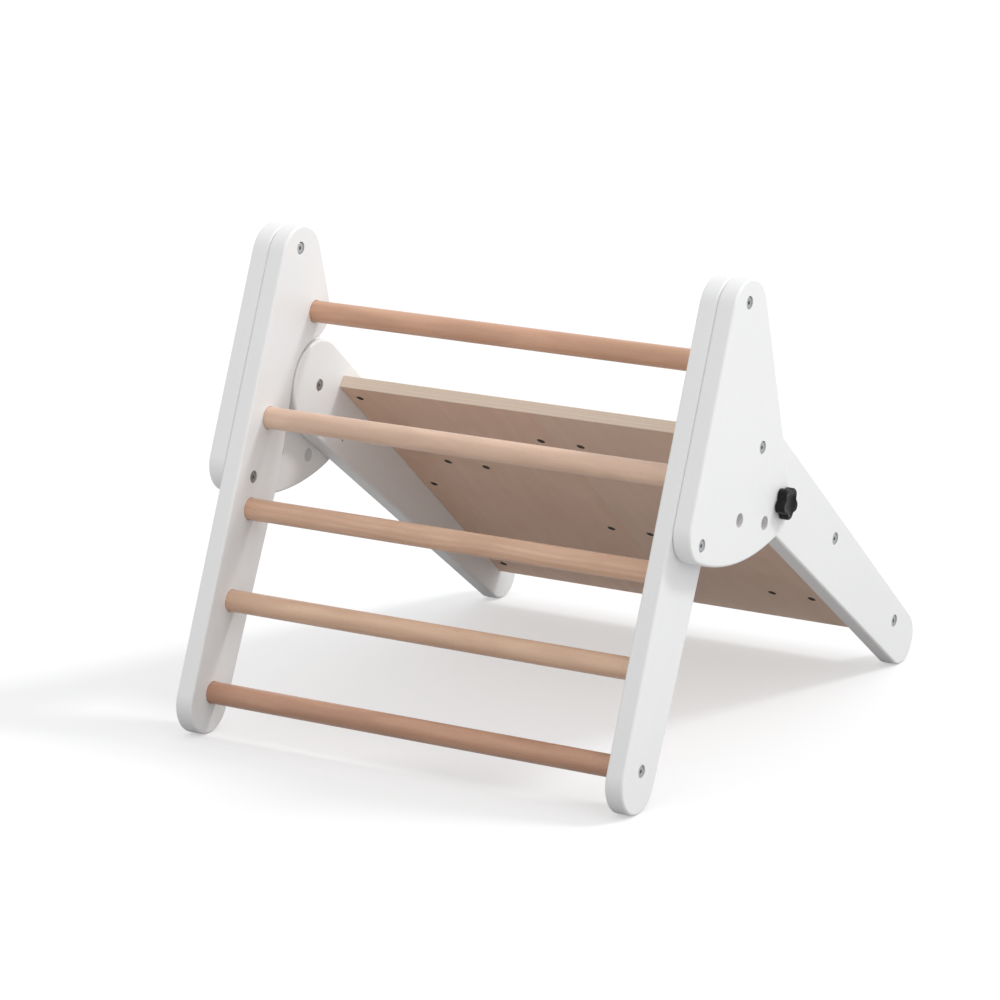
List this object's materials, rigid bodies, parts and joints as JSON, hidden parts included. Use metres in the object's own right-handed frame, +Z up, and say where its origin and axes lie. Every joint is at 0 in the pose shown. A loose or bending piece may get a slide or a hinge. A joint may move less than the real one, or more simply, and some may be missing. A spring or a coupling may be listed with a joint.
{
  "type": "folding climbing triangle",
  "caption": "Low wooden climbing triangle for toddlers: a rung ladder hinged between side plates to a sloping board with climbing holds, locked open by star knobs.",
  "frame": {"origin": "on the ground, at the centre of the frame's box seen from above", "axes": "+X across the rungs, with -Y the ladder's side and +Y the sloping board's side, +Z up"},
  "size_m": [0.6342, 0.7159, 0.5457],
  "materials": {
    "white_paint": "satin white paint on plywood, edges rounded over",
    "beech": "fine grained beech, clear matt oil",
    "birch_plywood": "birch plywood, clear matt lacquer, layered edges",
    "zinc_steel": "bright zinc plating",
    "black_plastic": "satin moulded black"
  },
  "bodies": {
    "ladder": {"front_leg_left": "white_paint", "side_plate_left": "white_paint", "front_leg_right": "white_paint", "side_plate_right": "white_paint", "rung_1": "beech", "rung_2": "beech", "rung_3": "beech", "rung_4": "beech", "rung_5": "beech", "plate_top_bolt_left": "zinc_steel", "plate_top_nut_left": "zinc_steel", "plate_top_bolt_right": "zinc_steel", "plate_top_nut_right": "zinc_steel", "plate_low_bolt_left": "zinc_steel", "plate_low_nut_left": "zinc_steel", "plate_low_bolt_right": "zinc_steel", "plate_low_nut_right": "zinc_steel", "pivot_bolt_left": "zinc_steel", "pivot_nut_left": "zinc_steel", "pivot_bolt_right": "zinc_steel", "pivot_nut_right": "zinc_steel", "rung_screw_left": "zinc_steel", "rung_screw_right": "zinc_steel"},
    "rear_frame": {"rear_leg_left": "white_paint", "rear_leg_right": "white_paint", "climbing_board": "birch_plywood", "board_bolt_left_1": "zinc_steel", "board_nut_left_1": "zinc_steel", "board_bolt_left_2": "zinc_steel", "board_nut_left_2": "zinc_steel", "board_bolt_left_3": "zinc_steel", "board_nut_left_3": "zinc_steel", "board_bolt_right_1": "zinc_steel", "board_nut_right_1": "zinc_steel", "board_bolt_right_2": "zinc_steel", "board_nut_right_2": "zinc_steel", "board_bolt_right_3": "zinc_steel", "board_nut_right_3": "zinc_steel", "climbing_hold_1": "beech", "climbing_hold_2": "beech", "climbing_hold_3": "beech", "climbing_hold_4": "beech", "climbing_hold_5": "beech", "climbing_hold_6": "beech", "hold_screw_1": "zinc_steel", "hold_screw_2": "zinc_steel", "hold_screw_3": "zinc_steel", "hold_screw_4": "zinc_steel", "hold_screw_5": "zinc_steel", "hold_screw_6": "zinc_steel", "hold_screw_7": "zinc_steel", "hold_screw_8": "zinc_steel", "hold_screw_9": "zinc_steel", "hold_screw_10": "zinc_steel", "hold_screw_11": "zinc_steel", "hold_screw_12": "zinc_steel"},
    "stud_left": {"knob_stud_left": "zinc_steel"},
    "stud_right": {"knob_stud_right": "zinc_steel"},
    "knob_left": {"star_knob_left": "black_plastic"},
    "knob_right": {"star_knob_right": "black_plastic"}
  },
  "joints": [
    {"name": "fold", "type": "hinge", "parent": "ladder", "child": "rear_frame", "pos_m": [0, -0.09045, 0.35422], "axis": [-1, 0, 0], "range_deg": [0, 70.5]},
    {"name": "stud_pull_left", "type": "slide", "parent": "ladder", "child": "stud_left", "axis": [-1, 0, 0], "range_m": [0, 0.03]},
    {"name": "stud_pull_right", "type": "slide", "parent": "ladder", "child": "stud_right", "axis": [1, 0, 0], "range_m": [0, 0.03]},
    {"name": "knob_turn_left", "type": "hinge", "parent": "stud_left", "child": "knob_left", "pos_m": [-0.3061, -0.04187, 0.2824], "axis": [-1, 0, 0], "continuous": true},
    {"name": "knob_turn_right", "type": "hinge", "parent": "stud_right", "child": "knob_right", "pos_m": [0.3061, -0.04187, 0.2824], "axis": [1, 0, 0], "continuous": true}
  ]
}
